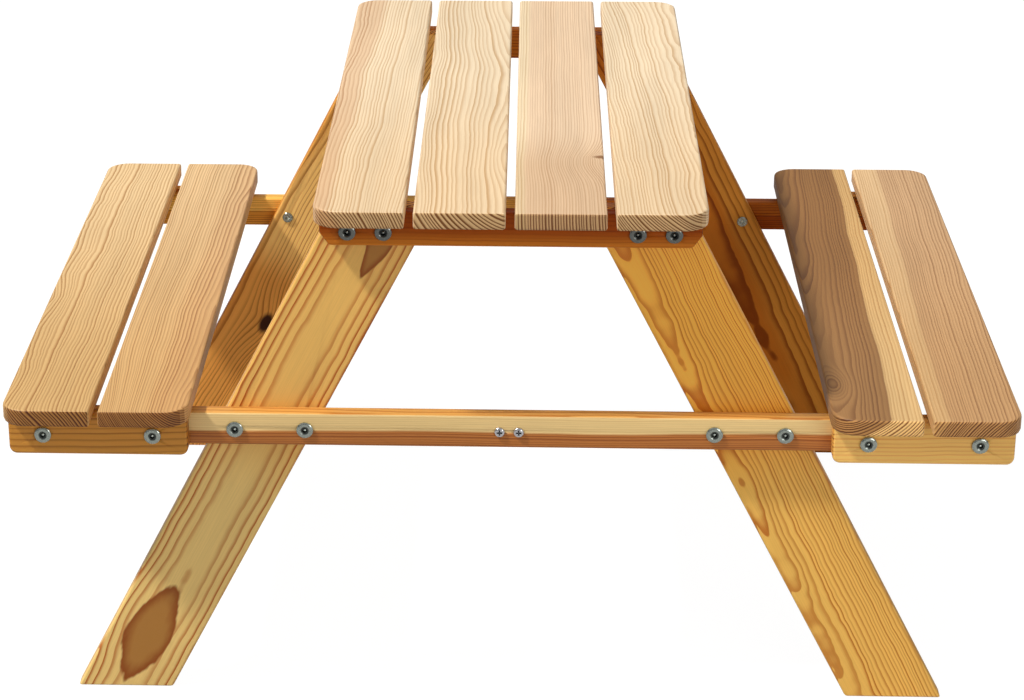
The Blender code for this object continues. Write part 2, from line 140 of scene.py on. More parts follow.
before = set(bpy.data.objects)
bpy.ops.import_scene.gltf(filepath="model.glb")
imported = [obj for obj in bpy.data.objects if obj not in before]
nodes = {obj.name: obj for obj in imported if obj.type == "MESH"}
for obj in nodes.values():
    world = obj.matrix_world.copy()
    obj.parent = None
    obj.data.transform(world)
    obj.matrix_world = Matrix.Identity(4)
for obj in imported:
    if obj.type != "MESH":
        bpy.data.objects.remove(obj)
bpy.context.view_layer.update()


class Graph:
    """Short calls that add shader nodes to one tree and wire them."""

    def __init__(self, tree):
        self.tree = tree

    def node(self, kind, **settings):
        made = self.tree.nodes.new(kind)
        for key, value in settings.items():
            setattr(made, key, value)
        return made

    def plug(self, socket, value):
        if isinstance(value, bpy.types.NodeSocket):
            self.tree.links.new(value, socket)
        elif value is not None:
            socket.default_value = value

    def math(self, operation, *values, clamp=False):
        made = self.node("ShaderNodeMath", operation=operation, use_clamp=clamp)
        for socket, value in zip(made.inputs, values):
            self.plug(socket, value)
        return made.outputs[0]

    def add(self, a, b):
        return self.math("ADD", a, b)

    def times(self, a, b):
        return self.math("MULTIPLY", a, b)

    def dot(self, a, b):
        made = self.node("ShaderNodeVectorMath", operation="DOT_PRODUCT")
        self.plug(made.inputs[0], a)
        self.plug(made.inputs[1], b)
        return made.outputs["Value"]

    def vector(self, operation, a, b):
        made = self.node("ShaderNodeVectorMath", operation=operation)
        self.plug(made.inputs[0], a)
        self.plug(made.inputs[1], b)
        return made.outputs[0]

    def combine(self, x, y, z):
        made = self.node("ShaderNodeCombineXYZ")
        for socket, value in zip(made.inputs, (x, y, z)):
            self.plug(socket, value)
        return made.outputs[0]

    def separate(self, value):
        made = self.node("ShaderNodeSeparateXYZ")
        self.plug(made.inputs[0], value)
        return made.outputs

    def noise(self, place, detail=2.0, roughness=0.5):
        """Noise of scale 1: the place is scaled beforehand. Gives its value and its three channels."""
        made = self.node("ShaderNodeTexNoise", noise_dimensions="3D")
        self.plug(made.inputs["Vector"], place)
        made.inputs["Scale"].default_value = 1.0
        made.inputs["Detail"].default_value = detail
        made.inputs["Roughness"].default_value = roughness
        return made.outputs[0], made.outputs[1]

    def step(self, value, low, high, out_low=0.0, out_high=1.0):
        """Smooth step between two values, onto another range."""
        made = self.node("ShaderNodeMapRange", interpolation_type="SMOOTHSTEP")
        for socket, item in zip(made.inputs, (value, low, high, out_low, out_high)):
            self.plug(socket, item)
        return made.outputs[0]

    def blend(self, factor, a, b, kind="MIX"):
        made = self.node("ShaderNodeMix", data_type="RGBA", blend_type=kind)
        self.plug(made.inputs[0], factor)
        self.plug(made.inputs[6], a)
        self.plug(made.inputs[7], b)
        return made.outputs[2]

    def between(self, factor, a, b):
        made = self.node("ShaderNodeMix", data_type="FLOAT")
        self.plug(made.inputs[0], factor)
        self.plug(made.inputs[2], a)
        self.plug(made.inputs[3], b)
        return made.outputs[0]


def linear(red, green, blue):
    """A colour given as it looks on the screen, 0 to 255, in linear light."""
    parts = []
    for value in (red, green, blue):
        value /= 255
        parts.append(value / 12.92 if value <= 0.04045 else ((value + 0.055) / 1.055) ** 2.4)
    return (*parts, 1.0)


def new_group(name, inputs, outputs):
    """A shader node group with those sockets."""
    group = bpy.data.node_groups.new(name, "ShaderNodeTree")
    kinds = {"f": "NodeSocketFloat", "v": "NodeSocketVector", "c": "NodeSocketColor"}
    for label, kind in inputs:
        group.interface.new_socket(label, in_out="INPUT", socket_type=kinds[kind])
    for label, kind in outputs:
        group.interface.new_socket(label, in_out="OUTPUT", socket_type=kinds[kind])
    graph = Graph(group)
    entry = graph.node("NodeGroupInput")
    leave = graph.node("NodeGroupOutput")
    return group, graph, entry.outputs, leave.inputs


def pine_group():
    """Growth rings around a pith that runs along a board, and the colours of their wood."""
    inputs = [("Point", "v"), ("Pith Across", "f"), ("Pith Depth", "f"), ("Tilt Across", "f"),
              ("Tilt Depth", "f"), ("Spacing", "f"), ("Wave", "f"), ("Ripple", "f"), ("Push", "f"),
              ("Seed", "f"), ("Heart Radius", "f"), ("Heart Softness", "f"), ("Sap Lines", "f"),
              ("Heart Lines", "f"), ("Sharpness", "f"), ("End", "f"), ("Sap Early", "c"),
              ("Sap Late", "c"), ("Heart Early", "c"), ("Heart Late", "c"), ("End Tint", "c"),
              ("Line Start", "f")]
    outputs = [("Color", "c"), ("Late", "f"), ("Fibre", "f"), ("Height", "f")]
    group, g, given, out = new_group("pine_rings", inputs, outputs)
    u, v, w = g.separate(given["Point"])
    seed = given["Seed"]

    def scaled(scales):
        """The point in steps of an unevenness, shifted by the board's seed."""
        length, side = scales
        return g.combine(g.add(g.times(u, length), seed), g.times(v, side), g.times(w, side))

    sway = g.separate(g.noise(scaled(SWAY_SCALES), 1.0)[1])
    shake = g.separate(g.noise(scaled(SHAKE_SCALES), 2.0, 0.45)[1])
    across = g.math("SUBTRACT", v, given["Pith Across"])
    across = g.math("SUBTRACT", across, g.times(given["Tilt Across"], u))
    across = g.add(across, g.times(given["Wave"], g.math("SUBTRACT", sway[0], 0.5)))
    across = g.add(across, g.times(given["Ripple"], g.math("SUBTRACT", shake[0], 0.5)))
    depth = g.math("SUBTRACT", w, given["Pith Depth"])
    depth = g.math("SUBTRACT", depth, g.times(given["Tilt Depth"], u))
    depth = g.add(depth, g.times(given["Wave"], g.math("SUBTRACT", sway[1], 0.5)))
    depth = g.add(depth, g.times(given["Ripple"], g.math("SUBTRACT", shake[1], 0.5)))
    radius = g.math("SQRT", g.add(g.times(across, across), g.times(depth, depth)))
    radius = g.add(radius, given["Push"])
    count = g.math("DIVIDE", radius, given["Spacing"])
    uneven = g.noise(g.combine(g.times(count, DRIFT_RATE), seed, DRIFT_ROW), 1.0)[0]
    count = g.add(count, g.times(uneven, DRIFT))
    part = g.math("FRACT", count)
    rise = g.step(part, given["Line Start"], LINE_FULL)
    late = g.math("POWER", rise, given["Sharpness"])
    late = g.times(late, g.step(part, LINE_FADE, 1.0, 1.0, 0.0))
    whole = g.times(g.math("FLOOR", count), LINE_STRIDE)
    ring = g.noise(g.combine(whole, seed, LINE_ROW), 0.0)[0]
    late = g.times(late, g.step(ring, 0.25, 0.75, *LINE_STRENGTHS))
    low = g.math("SUBTRACT", given["Heart Radius"], given["Heart Softness"])
    high = g.add(given["Heart Radius"], given["Heart Softness"])
    heart = g.step(radius, low, high, 1.0, 0.0)
    strength = g.between(heart, given["Sap Lines"], given["Heart Lines"])
    strength = g.times(strength, g.add(1.0, g.times(given["End"], END_LINE_GAIN)))
    amount = g.math("MULTIPLY", late, strength, clamp=True)
    early = g.blend(heart, given["Sap Early"], given["Heart Early"])
    dark = g.blend(heart, given["Sap Late"], given["Heart Late"])
    dark = g.blend(given["End"], dark, g.blend(1.0, dark, END_LINES, "MULTIPLY"))
    colour = g.blend(amount, early, dark)
    fibre = g.noise(scaled(FIBRE_SCALES), 3.0, 0.6)[0]
    cloud = g.noise(scaled(CLOUD_SCALES), 2.0)[0]
    tone = g.add(g.step(fibre, 0.3, 0.7, *FIBRE_TONES), g.step(cloud, 0.25, 0.75, *CLOUD_TONES))
    tone = g.add(1.0, tone)
    colour = g.blend(1.0, colour, g.combine(tone, tone, tone), "MULTIPLY")
    colour = g.blend(given["End"], colour, g.blend(1.0, colour, given["End Tint"], "MULTIPLY"))
    height = g.add(amount, g.times(fibre, FIBRE_RELIEF))
    for label, value in (("Color", colour), ("Late", amount), ("Fibre", fibre), ("Height", height)):
        g.plug(out[label], value)
    return group


def knot_group():
    """Pushes the rings aside around one place of a board; gives the distance for darkening its core.
    """
    inputs = [("Point", "v"), ("Along", "f"), ("Across", "f"), ("Length", "f"), ("Width", "f"),
              ("Push", "f")]
    group, g, given, out = new_group("pine_knot", inputs, [("Push", "f"), ("Distance", "f")])
    u, v, _ = g.separate(given["Point"])
    du = g.math("DIVIDE", g.math("SUBTRACT", u, given["Along"]), given["Length"])
    dv = g.math("DIVIDE", g.math("SUBTRACT", v, given["Across"]), given["Width"])
    square = g.add(g.times(du, du), g.times(dv, dv))
    fade = g.math("EXPONENT", g.times(square, -1.0))
    g.plug(out["Push"], g.times(fade, given["Push"]))
    g.plug(out["Distance"], g.math("SQRT", square))
    return group


RINGS = pine_group()
KNOT = knot_group()

CREAM = {"sap": (linear(243, 217, 176), linear(206, 164, 112)),
         "heart": (linear(232, 196, 152), linear(190, 138, 92)),
         "spacing": 3.0, "wave": 10, "ripple": 1.6, "sap_lines": 0.75, "heart_lines": 0.85,
         "sharpness": 1.6, "roughness": 0.62, "coat": 0.0, "relief": 0.30, "specular": 0.35,
         "end_tint": (0.80, 0.68, 0.50), "knot_core": linear(150, 108, 72),
         "line_start": 0.18}
HONEY = {**CREAM, "sap": (linear(238, 196, 140), linear(180, 124, 68)),
         "heart": (linear(234, 186, 130), linear(172, 114, 66)), "roughness": 0.58,
         "end_tint": (0.60, 0.42, 0.24)}
TAN = {**HONEY, "sap": (linear(216, 178, 126), linear(176, 126, 74)),
       "heart": (linear(204, 160, 112), linear(146, 100, 62)), "end_tint": (1.3, 1.2, 0.95)}
OILED = {**CREAM, "sap": (linear(242, 204, 124), linear(176, 88, 20)),
         "heart": (linear(196, 124, 54), linear(150, 72, 20)), "spacing": 6.5, "wave": 14,
         "ripple": 2.0, "sap_lines": 1.0, "heart_lines": 0.95, "sharpness": 3.0,
         "roughness": 0.42, "coat": 0.08, "relief": 0.10, "specular": 0.25,
         "patch": (linear(180, 124, 56), linear(150, 76, 20))}
ORANGE = {**OILED, "sap": (linear(252, 190, 90), linear(192, 104, 24)),
          "heart": (linear(236, 158, 64), linear(168, 80, 14)), "spacing": 2.9,
          "sharpness": 1.8}
BROWN = {**OILED, "sap": (linear(226, 148, 56), linear(150, 74, 12)),
         "heart": (linear(204, 116, 32), linear(140, 62, 8)), "spacing": 3.4, "coat": 0.0,
         "specular": 0.10, "knot_core": linear(64, 30, 14)}

# Tint at a board's near end and at its far end, where the change is and its half length in m
BRIGHT_FAR = ((0.95, 0.92, 0.91), (0.99, 1.03, 1.13), -0.1, 0.22)

# Each board: its family, then its own pith, with the place in mm, its rings, knots, patches and tints.
# A knot is its place, reach along and across, push on the rings and the width of its core, in mm.
# A patch is its place and its half length and half width, in mm.
BOARDS = {
    "tabletop_slat_1": (CREAM, {"pith": (-95, -70), "tilt": (0.03, 0.0), "heart_r": 108,
                                "soft": 4, "seed": 1.0, "spacing": 2.8, "wave": 12,
                                "ripple": 1.8, "sap_lines": 0.9, "shift": BRIGHT_FAR}),
    "tabletop_slat_2": (CREAM, {"pith": (62, 66), "tilt": (-0.012, 0.01), "heart_r": 30,
                                "soft": 8, "seed": 4.0, "spacing": 3.9, "wave": 16,
                                "sap_lines": 0.95, "shift": BRIGHT_FAR,
                                "knots": [(-205, 52, 60, 26, -11, 0),
                                          (390, 60, 190, 60, -18, 0)]}),
    "tabletop_slat_3": (CREAM, {"pith": (150, 10), "tilt": (0.004, 0.0), "heart_r": 184, "soft": 3,
                                "seed": 7.0, "spacing": 2.9, "wave": 4, "ripple": 0.9,
                                "heart": (linear(239, 206, 168), linear(206, 162, 120)),
                                "heart_lines": 0.9,
                                "shift": ((0.86, 0.83, 0.80), (1.0, 1.04, 1.1), -0.18, 0.07),
                                "knots": [(-225, 52, 45, 60, -17, 0),
                                          (-207, 46, 7, 16, -5, 12)]}),
    "tabletop_slat_4": (CREAM, {"pith": (70, 92), "tilt": (-0.045, 0.0), "heart_r": 30,
                                "soft": 8, "seed": 11.0, "spacing": 2.7, "wave": 12,
                                "ripple": 2.2, "sap_lines": 0.95, "shift": BRIGHT_FAR}),
    "bench_slat_left_outer": (HONEY, {"pith": (-100, -80), "tilt": (0.01, 0.0), "heart_r": 60,
                                      "soft": 8, "seed": 15.0, "spacing": 2.9, "ripple": 3.0,
                                      "sap_lines": 0.95,
                                      "shift": ((0.84, 0.82, 0.70), (1.05, 1.16, 1.3), 0, 0.34),
                                      "knots": [(-71, -50, 45, 26, -9, 0),
                                                (-300, -60, 60, 34, -10, 0)]}),
    "bench_slat_left_inner": (HONEY, {"pith": (66, 76), "tilt": (0.0, 0.02), "heart_r": 84,
                                      "soft": 12, "seed": 19.0, "spacing": 2.4, "ripple": 1.2,
                                      "sap_lines": 0.85, "heart_lines": 0.9, "wave": 8,
                                      "shift": ((0.82, 0.78, 0.68), (0.98, 1.05, 1.16), 0, 0.34),
                                      "knots": [(-400, -70, 120, 50, 22, 0)]}),
    "bench_slat_right_inner": (TAN, {"pith": (-44, 52), "tilt": (0.0, -0.035), "heart_r": 79,
                                     "soft": 1.6, "seed": 23.0, "spacing": 2.8, "ripple": 1.2,
                                     "heart_lines": 0.85, "wave": 8,
                                     "heart": (linear(154, 112, 70), linear(112, 72, 40)),
                                     "end_tint": (1.5, 1.4, 1.15),
                                     "shift": ((1.06, 1.08, 1.02), (0.98, 0.94, 0.80), -0.1, 0.2),
                                     "knots": [(-287, -36, 36, 17, -12, 0)]}),
    "bench_slat_right_outer": (TAN, {"pith": (110, -84), "tilt": (0.02, 0.0), "heart_r": 162,
                                     "soft": 3, "seed": 27.0, "spacing": 2.5, "ripple": 1.1,
                                     "heart_lines": 0.9, "wave": 5,
                                     "sap": (linear(224, 184, 132), linear(184, 134, 80)),
                                     "heart": (linear(208, 164, 116), linear(152, 106, 66)),
                                     "shift": ((0.88, 0.85, 0.78), (1.02, 1.08, 1.2), 0, 0.34),
                                     "end_tint": (1.05, 0.90, 0.66)}),
    "leg_front_left": (OILED, {"pith": (2, -25.4), "tilt": (0.0, 0.0), "heart_r": 4, "soft": 2,
                               "seed": 31.0, "wave": 4.5, "ripple": 2.8, "spacing": 5.6,
                               "line_start": 0.4,
                               "sap": (linear(246, 208, 128), linear(186, 94, 22)),
                               "shift": ((1, 1, 1), (0.96, 0.82, 0.62), 0.0, 0.06),
                               "sharpness": 1.5, "knots": [(-232, -38, 55, 20, -7, 0)],
                               "patches": [(-240, -5, 66, 25), (276, 13, 46, 13)]}),
    "leg_front_right": (ORANGE, {"pith": (-34, -26), "tilt": (0.0, 0.02), "heart_r": 20,
                                 "soft": 5, "seed": 35.0, "ripple": 4.0,
                                 "sap": (linear(255, 204, 104), linear(198, 112, 28)),
                                 "shift": ((0.97, 0.92, 0.84), (1.08, 0.89, 0.52), 0.0, 0.06)}),
    "leg_rear_left": (BROWN, {"pith": (-60, -30), "tilt": (0.02, 0.0), "heart_r": 40, "soft": 8,
                              "seed": 39.0, "spacing": 3.8, "sap_lines": 0.85,
                              "sap": (linear(240, 166, 78), linear(160, 84, 22)),
                              # The far tint brightens the leg's upper part: painted light where the
                              # key reaches it past the bench.
                              "shift": ((1, 1, 1), (1.25, 1.7, 2.6), -0.03, 0.03),
                              "knots": [(-113, 8, 40, 22, -13, 8)]}),
    "leg_rear_right": (BROWN, {"pith": (-10, -26), "tilt": (0.0, 0.03), "heart_r": 44, "soft": 4,
                               "seed": 43.0, "spacing": 6.0, "ripple": 4.5}),
    "cross_rail_front": (OILED, {"pith": (-90, -40), "tilt": (0.004, 0.0), "heart_r": 102,
                                 "soft": 1.2, "top": (0.88, 0.62, 0.34), "seed": 47.0,
                                 "spacing": 2.2, "wave": 5, "ripple": 0.8, "sap_lines": 0.35,
                                 "heart_lines": 0.85, "sharpness": 2.0,
                                 "sap": (linear(246, 212, 146), linear(206, 148, 78)),
                                 "heart": (linear(196, 122, 58), linear(136, 66, 24))}),
    "cross_rail_rear": (BROWN, {"pith": (-80, -30), "tilt": (0.0, 0.0), "heart_r": 90, "soft": 2,
                                # The near tint brightens the rail's left half and the far tint darkens
                                # its right: painted light and painted shade.
                                "shift": ((1.3, 1.9, 3.0), (0.75, 0.5, 0.3), 0.0, 0.1),
                                "seed": 51.0, "spacing": 2.6, "wave": 4, "ripple": 0.8}),
    "tabletop_bearer_front": (BROWN, {"pith": (60, -50), "tilt": (0.0, 0.0), "heart_r": 91,
                                      "soft": 9, "seed": 55.0, "spacing": 3.0, "wave": 4,
                                      "ripple": 0.8, "sap_lines": 0.5, "heart_lines": 0.6,
                                      # The soft dark heart makes the bearer darker towards its top:
                                      # painted shade under the slats' overhang.
                                      "sap": (linear(212, 128, 40), linear(160, 80, 16)),
                                      "heart": (linear(158, 70, 8), linear(118, 46, 4))}),
    "tabletop_bearer_rear": (BROWN, {"pith": (-60, 50), "tilt": (0.0, 0.0), "heart_r": 90,
                                     "soft": 6, "seed": 59.0, "spacing": 3.0, "wave": 4,
                                     "ripple": 0.8}),
    "bench_cleat_front_left": (ORANGE, {"pith": (-62, -10), "tilt": (0.02, 0.0), "heart_r": 8,
                                        "soft": 3, "seed": 63.0, "spacing": 5.6, "wave": 9,
                                        "sap": (linear(212, 146, 58), linear(146, 82, 18)),
                                        "sap_lines": 0.8, "relief": 0.04, "line_start": 0.4}),
    "bench_cleat_front_right": (ORANGE, {"pith": (58, -12), "tilt": (0.01, 0.0), "heart_r": 8,
                                         "soft": 3, "seed": 67.0, "spacing": 4.6, "wave": 6,
                                         "sap": (linear(255, 203, 112), linear(226, 138, 58)),
                                         "sap_lines": 0.65, "relief": 0.04, "line_start": 0.45}),
    "bench_cleat_rear_left": (ORANGE, {"pith": (-40, -30), "tilt": (0.0, 0.02), "heart_r": 8,
                                       "soft": 3, "seed": 71.0, "spacing": 3.6, "wave": 6}),
    "bench_cleat_rear_right": (ORANGE, {"pith": (-30, 36), "tilt": (0.0, 0.0), "heart_r": 8,
                                        "soft": 3, "seed": 75.0, "spacing": 3.8, "wave": 6}),
}


def board_axes(name):
    """The directions along and across a board, and the one that its shown face looks in."""
    if "slat" in name:
        return Vector((0, 1, 0)), Vector((1, 0, 0)), Vector((0, 0, 1))
    if name.startswith("leg"):
        lean = LEG_LEAN if name.endswith("left") else -LEG_LEAN
        along = Vector((lean, 0, 1)).normalized()
        return along, Vector((along.z, 0, -along.x)), Vector((0, -1, 0))
    return Vector((1, 0, 0)), Vector((0, 0, 1)), Vector((0, -1, 0))


def pine(name, look):
    """The pine of one board, its rings running through the solid."""
    along, across, depth = board_axes(name)
    low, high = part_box(name)
    centre = (Vector(low) + Vector(high)) / 2
    material = bpy.data.materials.new("pine_" + name)
    material.use_nodes = True
    g = Graph(material.node_tree)
    shader = material.node_tree.nodes["Principled BSDF"]
    coordinates = g.node("ShaderNodeTexCoord")
    offset = g.vector("SUBTRACT", coordinates.outputs["Object"], centre)
    point = g.combine(g.dot(offset, along), g.dot(offset, across), g.dot(offset, depth))
    geometry = g.node("ShaderNodeNewGeometry")
    facing = g.math("ABSOLUTE", g.dot(geometry.outputs["True Normal"], along))
    end = g.step(facing, *END_FACING)
    push, core = 0.0, None
    for ku, kv, length, width, amount, dark in look.get("knots", ()):
        knot = g.node("ShaderNodeGroup", node_tree=KNOT)
        values = {"Point": point, "Along": ku * MM, "Across": kv * MM, "Length": length * MM,
                  "Width": width * MM, "Push": amount * MM}
        for label, value in values.items():
            g.plug(knot.inputs[label], value)
        push = g.add(push, knot.outputs["Push"])
        if dark:
            inner, outer = (dark / width * share for share in CORE_EDGE)
            core = g.step(knot.outputs["Distance"], inner, outer, 1.0, 0.0)
    rising = g.step(g.dot(geometry.outputs["True Normal"], (0, 0, 1)), *TOP_FACING)
    sap_lines = look["sap_lines"]
    if "top" in look:
        sap_lines = g.between(rising, sap_lines, 1.0)
    rings = g.node("ShaderNodeGroup", node_tree=RINGS)
    values = {"Point": point, "Pith Across": look["pith"][0] * MM,
              "Pith Depth": look["pith"][1] * MM, "Tilt Across": look["tilt"][0],
              "Tilt Depth": look["tilt"][1], "Spacing": look["spacing"] * MM,
              "Wave": look["wave"] * MM, "Ripple": look["ripple"] * MM, "Push": push,
              "Seed": look["seed"], "Heart Radius": look["heart_r"] * MM,
              "Heart Softness": look["soft"] * MM, "Sap Lines": sap_lines,
              "Heart Lines": look["heart_lines"], "Sharpness": look["sharpness"], "End": end,
              "Sap Early": look["sap"][0], "Sap Late": look["sap"][1],
              "Heart Early": look["heart"][0], "Heart Late": look["heart"][1],
              "End Tint": (*look["end_tint"], 1), "Line Start": look["line_start"]}
    for label, value in values.items():
        g.plug(rings.inputs[label], value)
    colour = rings.outputs["Color"]
    u, v, _ = g.separate(point)
    if "shift" in look:
        near, far, centre_u, half = look["shift"]
        along_board = g.step(u, centre_u - half, centre_u + half)
        tint = g.blend(along_board, (*near, 1), (*far, 1))
        colour = g.blend(1.0, colour, tint, "MULTIPLY")
    for pu, pv, length, width in look.get("patches", ()):
        edge = g.noise(g.vector("MULTIPLY", point, PATCH_EDGE_SCALES), 2.0)[0]
        reach = g.times(g.math("SUBTRACT", edge, 0.5), PATCH_EDGE_JAG)
        for value, centre_mm, half in ((u, pu, length), (v, pv, width)):
            offset = g.math("ABSOLUTE", g.math("SUBTRACT", value, centre_mm * MM))
            share = g.math("DIVIDE", offset, half * MM)
            reach = g.add(reach, g.math("POWER", share, PATCH_ROUNDNESS))
        middle, rim = look["patch"]
        tongue = g.blend(g.step(reach, *PATCH_RIM), middle, rim)
        colour = g.blend(g.step(reach, *PATCH_EDGE, 1.0, 0.0), colour, tongue)
    if core is not None:
        colour = g.blend(core, colour, look["knot_core"])
    if "top" in look:
        colour = g.blend(rising, colour, g.blend(1.0, colour, (*look["top"], 1), "MULTIPLY"))
    g.plug(shader.inputs["Base Color"], colour)
    rough = g.between(rings.outputs["Late"], look["roughness"], look["roughness"] - LINE_SHEEN)
    g.plug(shader.inputs["Roughness"], rough)
    shader.inputs["Specular IOR Level"].default_value = look["specular"]
    shader.inputs["Coat Weight"].default_value = look["coat"]
    shader.inputs["Coat Roughness"].default_value = COAT_ROUGHNESS
    bump = g.node("ShaderNodeBump")
    bump.inputs["Strength"].default_value = look["relief"]
    bump.inputs["Distance"].default_value = RELIEF_DEPTH
    g.plug(bump.inputs["Height"], rings.outputs["Height"])
    g.plug(shader.inputs["Normal"], bump.outputs[0])
    return material


def metal(name, colour, roughness, scale, spread, recess=None, raised=False):
    """Plated steel of uneven sheen, with painted shade in a recess but a painted highlight on its
    middle.
    """
    material = bpy.data.materials.new(name)
    material.use_nodes = True
    g = Graph(material.node_tree)
    shader = material.node_tree.nodes["Principled BSDF"]
    place = g.node("ShaderNodeTexCoord").outputs["Object"]
    cloud = g.noise(g.vector("MULTIPLY", place, (scale, scale, scale)), 3.0, 0.6)[0]
    fine = g.noise(g.vector("MULTIPLY", place, (GRAIN_SCALE, GRAIN_SCALE, GRAIN_SCALE)), 2.0)[0]
    tint = g.step(cloud, 0.3, 0.7, 1.0 - spread, 1.0 + spread)
    # Painted shade darkens the recess; a raised middle is spared it and made brighter as a painted
    # highlight.
    if recess:
        reach, top = recess
        x, y, z = g.separate(place)
        radius = g.math("SQRT", g.add(g.times(x, x), g.times(y, y)))
        inner, outer = (reach * share for share in RECESS_EDGE)
        within = g.step(radius, inner, outer, 1.0, 0.0)
        if raised:
            within = g.times(within, g.step(radius, *RAISED_FOOT))
            tint = g.times(tint, g.step(radius, *RAISED_TOP, RAISED_SHINE, 1.0))
        sunk = g.times(within, g.step(z, top - 0.1 * MM, top, 1.0, 0.0))
        sunk = g.times(sunk, g.step(z, *SHADE_END))
        tint = g.times(tint, g.between(sunk, 1.0, RECESS_SHADE))
    shaded = g.blend(1.0, colour, g.combine(tint, tint, tint), "MULTIPLY")
    g.plug(shader.inputs["Base Color"], shaded)
    shader.inputs["Metallic"].default_value = 1.0
    low, high = (roughness + change for change in SHEEN_RANGE)
    g.plug(shader.inputs["Roughness"], g.step(cloud, 0.2, 0.8, low, high))
    bump = g.node("ShaderNodeBump")
    bump.inputs["Strength"].default_value = GRAIN_STRENGTH
    bump.inputs["Distance"].default_value = GRAIN_DEPTH
    g.plug(bump.inputs["Height"], fine)
    g.plug(shader.inputs["Normal"], bump.outputs[0])
    return material


def circle(radius):
    """A round outline: the radius at each angle."""
    return lambda angle: radius


def hexagon(apothem):
    """A six-sided outline, given half its width across the flats."""
    sixth = math.pi / 3
    return lambda angle: apothem / math.cos((angle + sixth / 2) % sixth - sixth / 2)


def cross(length, width):
    """A cross recess: arms of that half length and half width."""
    quarter = math.pi / 2

    def radius(angle):
        fold = abs((angle + quarter / 2) % quarter - quarter / 2)
        return min(length / math.cos(fold), width / max(math.sin(fold), 1e-6))
    return radius


def loft(name, rings, steps):
    """A closed solid through rings about Z, given as shape and height, its two ends capped."""
    verts, faces = [], []
    for shape, height in rings:
        for i in range(steps):
            angle = 2 * math.pi * i / steps
            radius = shape(angle)
            verts.append((radius * math.cos(angle), radius * math.sin(angle), height))
    for k in range(len(rings) - 1):
        for i in range(steps):
            a, b = k * steps + i, k * steps + (i + 1) % steps
            faces.append((a, a + steps, b + steps, b))
    faces.append(tuple(range(steps)))
    faces.append(tuple(range(len(verts) - 1, len(verts) - 1 - steps, -1)))
    mesh = bpy.data.meshes.new(name)
    mesh.from_pydata(verts, [], faces)
    mesh.update()
    mesh.shade_smooth()
    mesh.set_sharp_from_angle(angle=math.radians(28))
    return mesh


def bolt_mesh(grip):
    """A connector bolt in its sleeve nut; the head's underside is on Z = 0."""
    top = HEAD_THICKNESS
    back = -grip
    rings = [(circle(0.3 * MM), top - 1.3 * MM), (circle(0.8 * MM), top - 1.4 * MM),
             (circle(1.2 * MM), top - 1.65 * MM), (circle(1.5 * MM), top - 2.1 * MM),
             (circle(1.6 * MM), top - 3.3 * MM), (hexagon(2.4 * MM), top - 3.3 * MM),
             (hexagon(2.5 * MM), top - 0.9 * MM), (circle(3.5 * MM), top - 0.75 * MM),
             (circle(4.5 * MM), top - 0.08 * MM), (circle(4.7 * MM), top),
             (circle(6.7 * MM), top), (circle(6.95 * MM), top - 0.06 * MM),
             (circle(8.1 * MM), top - 0.65 * MM), (circle(8.45 * MM), top - 0.9 * MM),
             (circle(HEAD_RADIUS), top - 1.2 * MM), (circle(HEAD_RADIUS), 0.3 * MM),
             (circle(8.3 * MM), 0), (circle(3 * MM), 0), (circle(3 * MM), SLEEVE_LENGTH - grip),
             (circle(4.3 * MM), SLEEVE_LENGTH - grip), (circle(4.3 * MM), back),
             (circle(6.4 * MM), back), (circle(6.5 * MM), back - 0.3 * MM),
             (circle(6.4 * MM), back - 1.0 * MM), (circle(5.9 * MM), back - FLANGE_THICKNESS),
             (hexagon(2.3 * MM), back - FLANGE_THICKNESS),
             (hexagon(2.0 * MM), back - FLANGE_THICKNESS + 0.3 * MM),
             (hexagon(2.0 * MM), back)]
    return loft("connector_bolt", rings, 48)


def slat_screw_mesh():
    """A countersunk wood screw, its head's underside on Z = 0 and a cross recess on top."""
    rings = [(circle(0.5 * MM), 0.4 * MM), (cross(1.9 * MM, 0.45 * MM), 1.5 * MM),
             (cross(2.1 * MM, 0.5 * MM), SCREW_HEAD), (circle(3.2 * MM), SCREW_HEAD),
             (circle(3.75 * MM), 1.5 * MM), (circle(3.75 * MM), 1.3 * MM), (circle(2.0 * MM), 0)]
    ridge = -20.0
    rings.append((circle(2.0 * MM), ridge * MM))
    while ridge > -40:
        rings += [(circle(1.5 * MM), (ridge - 0.6) * MM), (circle(2.0 * MM), (ridge - 1.0) * MM)]
        ridge -= 1.6
    rings.append((circle(0.3 * MM), -SCREW_LENGTH + 0.2 * MM))
    return loft("slat_screw", rings, 48)


def centre_screw_mesh():
    """A pan-head screw with a cross recess, its head's underside on Z = 0."""
    rings = [(cross(1.2 * MM, 0.4 * MM), 1.0 * MM), (cross(2.7 * MM, 0.7 * MM), 2.15 * MM),
             (cross(3.1 * MM, 0.85 * MM), 2.52 * MM), (circle(3.5 * MM), 2.5 * MM),
             (circle(4.3 * MM), 2.2 * MM), (circle(5.0 * MM), 1.65 * MM),
             (circle(5.4 * MM), 1.0 * MM), (circle(5.5 * MM), 0.5 * MM),
             (circle(5.45 * MM), 0.1 * MM), (circle(5.3 * MM), 0), (circle(2 * MM), 0),
             (circle(2 * MM), -9 * MM), (circle(0.3 * MM), -13.9 * MM)]
    return loft("centre_screw", rings, 96)


def put(name, mesh, place, outward, material, stands_for=None):
    """One fastener with its head facing outwards."""
    item = bpy.data.objects.new(name, mesh)
    turn = Vector((0, 0, 1)).rotation_difference(Vector(outward)).to_matrix().to_4x4()
    item.matrix_world = Matrix.Translation(place) @ turn
    bpy.context.scene.collection.objects.link(item)
    if not mesh.materials:
        mesh.materials.append(material)
    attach(item, "root")
    if stands_for:
        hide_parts(stands_for)
    return item


